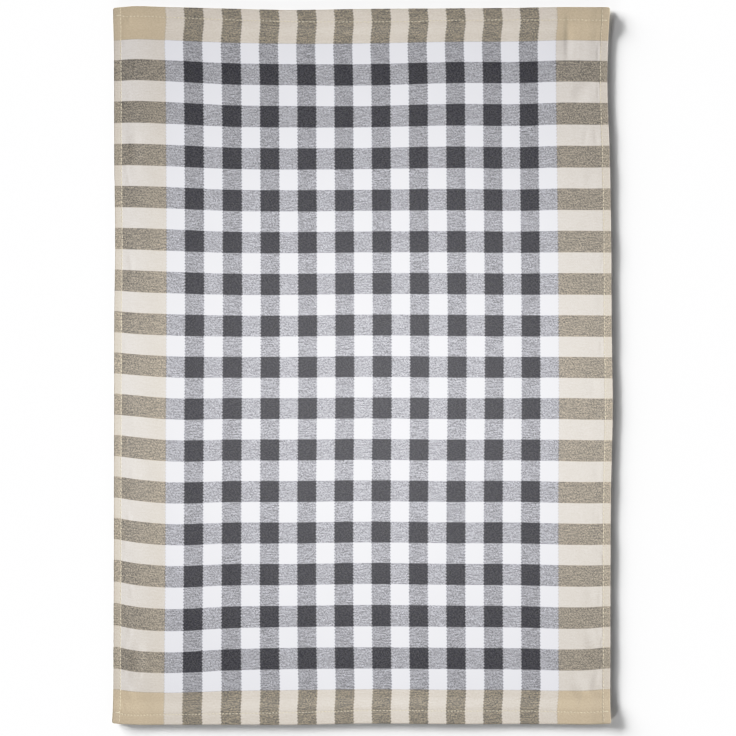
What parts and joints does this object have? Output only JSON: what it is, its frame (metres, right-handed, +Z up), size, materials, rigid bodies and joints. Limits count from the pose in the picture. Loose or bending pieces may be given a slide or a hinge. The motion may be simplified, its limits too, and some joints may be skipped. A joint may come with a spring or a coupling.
{
  "type": "tea towel",
  "caption": "Flat rectangular tea towel in woven check cotton with a plain tan border and narrow sewn hems, for drying dishes.",
  "frame": {"origin": "middle of the towel's outline, on the surface it rests on", "axes": "+Y along the towel's length, towards the end that is upper in the picture; +X across its width; +Z up out of its face"},
  "size_m": [0.4528, 0.6496, 0.0028],
  "materials": {
    "checked_cotton": "matt woven cotton",
    "sewing_thread": "matt spun thread"
  },
  "bodies": {
    "root": {"towel": "checked_cotton"}
  },
  "joints": []
}
